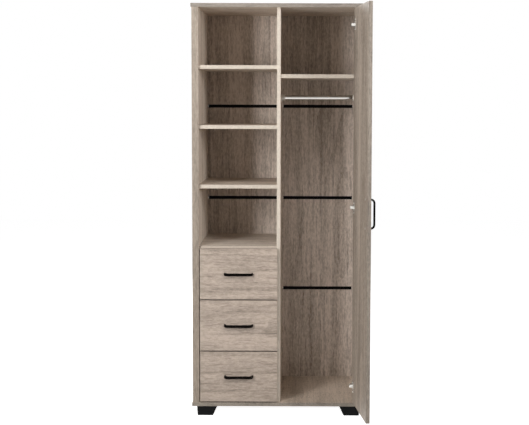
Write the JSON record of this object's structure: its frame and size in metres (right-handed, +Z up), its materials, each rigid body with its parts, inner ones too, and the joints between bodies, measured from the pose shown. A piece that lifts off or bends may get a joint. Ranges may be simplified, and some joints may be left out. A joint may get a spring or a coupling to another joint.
{
  "type": "chifforobe",
  "caption": "Tall free-standing chifforobe: open shelves over drawers on one side, and a hanging space with rod and hat shelf behind a single hinged door on the other.",
  "frame": {"origin": "middle of the carcass footprint, on the floor under the soles of the feet", "axes": "+Z up, +X to the viewer's right when facing the front, +Y from the front towards the back"},
  "size_m": [0.781, 0.804, 1.8],
  "materials": {
    "side_panels": "wood-grain decor, satin, upright grain",
    "end_panels": "wood-grain decor, satin, grain along the width",
    "shelf_boards": "wood-grain decor with pale edge band, satin",
    "back_sheets": "printed hardboard, satin, upright grain",
    "black_strip": "black extruded plastic",
    "rod_metal": "bright plated steel",
    "foot_plastic": "black moulded plastic, satin",
    "rail_plastic": "pale moulded plastic",
    "hinge_metal": "nickel-plated pressed steel",
    "screw_steel": "zinc-plated steel",
    "dowel_wood": "plain beech",
    "door_board": "wood-grain decor, satin, upright grain",
    "drawer_front": "wood-grain decor, satin, level grain",
    "drawer_box": "plain foil-faced board",
    "drawer_bottom": "thin hardboard",
    "handle_metal": "black powder coat, satin",
    "drawer_fastener": "zinc-plated screws and beech dowels"
  },
  "bodies": {
    "carcass": {"hinge_arms": "hinge_metal", "hinge_plates": "hinge_metal", "rod_socket_left": "rod_metal", "rod_socket_right": "rod_metal", "hanging_rod": "rod_metal", "fitting_screws": "screw_steel", "foot_front_left": "foot_plastic", "foot_front_right": "foot_plastic", "foot_rear_left": "foot_plastic", "foot_rear_right": "foot_plastic", "foot_screws": "screw_steel", "drawer_rails_left": "rail_plastic", "drawer_rails_right": "rail_plastic", "rail_screws": "screw_steel", "carcass_dowels": "dowel_wood", "shelf_dowels": "dowel_wood", "left_side_panel": "side_panels", "right_side_panel": "side_panels", "divider_panel": "shelf_boards", "bottom_panel": "end_panels", "top_panel": "end_panels", "hat_shelf": "shelf_boards", "drawer_bay_board": "shelf_boards", "lower_shelf": "shelf_boards", "middle_shelf": "shelf_boards", "upper_shelf": "shelf_boards", "back_sheet_1": "back_sheets", "back_sheet_2": "back_sheets", "back_sheet_3": "back_sheets", "back_sheet_4": "back_sheets", "back_strips_left": "black_strip", "back_strips_right": "black_strip"},
    "door": {"door_panel": "door_board", "door_handle": "handle_metal", "hinge_cups": "hinge_metal", "hinge_pins": "hinge_metal", "door_screws": "screw_steel"},
    "drawer_1": {"drawer_1_left_side": "drawer_box", "drawer_1_right_side": "drawer_box", "drawer_1_front": "drawer_front", "drawer_1_handle": "handle_metal", "drawer_1_back": "drawer_box", "drawer_1_bottom": "drawer_bottom", "drawer_1_fasteners": "drawer_fastener"},
    "drawer_2": {"drawer_2_left_side": "drawer_box", "drawer_2_right_side": "drawer_box", "drawer_2_front": "drawer_front", "drawer_2_handle": "handle_metal", "drawer_2_back": "drawer_box", "drawer_2_bottom": "drawer_bottom", "drawer_2_fasteners": "drawer_fastener"},
    "drawer_3": {"drawer_3_left_side": "drawer_box", "drawer_3_right_side": "drawer_box", "drawer_3_front": "drawer_front", "drawer_3_handle": "handle_metal", "drawer_3_back": "drawer_box", "drawer_3_bottom": "drawer_bottom", "drawer_3_fasteners": "drawer_fastener"}
  },
  "joints": [
    {"name": "door_swing", "type": "hinge", "parent": "carcass", "child": "door", "pos_m": [0.3335, -0.232, 0.921], "axis": [0, 0, 1], "range_deg": [-97, 3]},
    {"name": "drawer_1_slide", "type": "slide", "parent": "carcass", "child": "drawer_1", "axis": [0, -1, 0], "range_m": [0, 0.3]},
    {"name": "drawer_2_slide", "type": "slide", "parent": "carcass", "child": "drawer_2", "axis": [0, -1, 0], "range_m": [0, 0.3]},
    {"name": "drawer_3_slide", "type": "slide", "parent": "carcass", "child": "drawer_3", "axis": [0, -1, 0], "range_m": [0, 0.3]}
  ]
}
